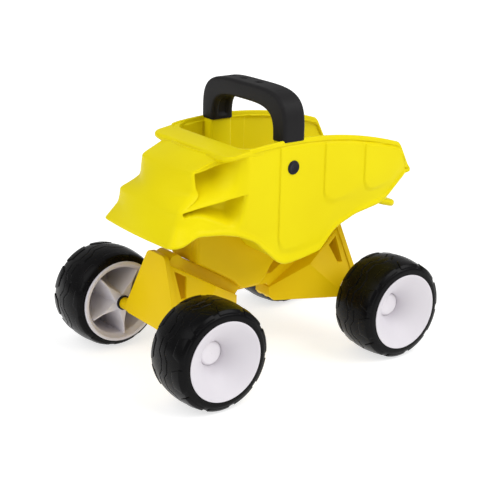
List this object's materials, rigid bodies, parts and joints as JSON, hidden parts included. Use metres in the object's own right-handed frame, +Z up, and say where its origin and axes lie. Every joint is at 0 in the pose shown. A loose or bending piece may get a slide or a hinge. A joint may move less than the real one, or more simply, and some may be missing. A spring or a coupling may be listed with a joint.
{
  "type": "toy dump truck",
  "caption": "Toy dump truck with a deep scoop-shaped tipping hopper, an arched carrying handle, a V-shaped cradle chassis and broad barrel tyres on dished hubs.",
  "frame": {"origin": "on the ground midway between the axles and between the wheels, the centre of the bounding box's bottom", "axes": "+X forward towards the hood, +Y to the truck's left, +Z up"},
  "size_m": [0.3004, 0.221, 0.2573],
  "materials": {
    "body_yellow": "bright yellow moulded plastic, softly glossy",
    "hub_white": "white moulded plastic, satin",
    "tyre_black": "black moulded plastic with a soft sheen",
    "handle_black": "black moulded plastic, fine grain",
    "pin_black": "black plastic",
    "steel": "plain drawn steel"
  },
  "bodies": {
    "chassis": {"chassis_frame": "body_yellow", "front_axle": "steel", "rear_axle": "steel", "hinge_pin": "steel", "push_nut_front_left": "steel", "push_nut_front_right": "steel", "push_nut_rear_left": "steel", "push_nut_rear_right": "steel", "washer_front_left": "pin_black", "washer_front_right": "pin_black", "washer_rear_left": "pin_black", "washer_rear_right": "pin_black"},
    "tipper": {"hopper": "body_yellow", "hood": "body_yellow", "keel": "body_yellow", "handle": "handle_black", "handle_pin_left": "pin_black", "handle_pin_right": "pin_black"},
    "wheel_front_left": {"hub_outer_front_left": "hub_white", "hub_barrel_front_left": "hub_white", "hub_star_front_left": "hub_white", "tyre_front_left": "tyre_black", "hub_cap_front_left": "hub_white"},
    "wheel_front_right": {"hub_outer_front_right": "hub_white", "hub_barrel_front_right": "hub_white", "hub_star_front_right": "hub_white", "tyre_front_right": "tyre_black", "hub_cap_front_right": "hub_white"},
    "wheel_rear_left": {"hub_outer_rear_left": "hub_white", "hub_barrel_rear_left": "hub_white", "hub_star_rear_left": "hub_white", "tyre_rear_left": "tyre_black", "hub_cap_rear_left": "hub_white"},
    "wheel_rear_right": {"hub_outer_rear_right": "hub_white", "hub_barrel_rear_right": "hub_white", "hub_star_rear_right": "hub_white", "tyre_rear_right": "tyre_black", "hub_cap_rear_right": "hub_white"}
  },
  "joints": [
    {"name": "tip", "type": "hinge", "parent": "chassis", "child": "tipper", "pos_m": [-0.08833, 0, 0.10413], "axis": [0, -1, 0], "range_deg": [0, 55]},
    {"name": "roll_front_left", "type": "hinge", "parent": "chassis", "child": "wheel_front_left", "pos_m": [0.1025, 0.085, 0.0477], "axis": [0, 1, 0], "continuous": true},
    {"name": "roll_front_right", "type": "hinge", "parent": "chassis", "child": "wheel_front_right", "pos_m": [0.1025, -0.085, 0.0477], "axis": [0, 1, 0], "continuous": true},
    {"name": "roll_rear_left", "type": "hinge", "parent": "chassis", "child": "wheel_rear_left", "pos_m": [-0.1025, 0.085, 0.0477], "axis": [0, 1, 0], "continuous": true},
    {"name": "roll_rear_right", "type": "hinge", "parent": "chassis", "child": "wheel_rear_right", "pos_m": [-0.1025, -0.085, 0.0477], "axis": [0, 1, 0], "continuous": true}
  ]
}
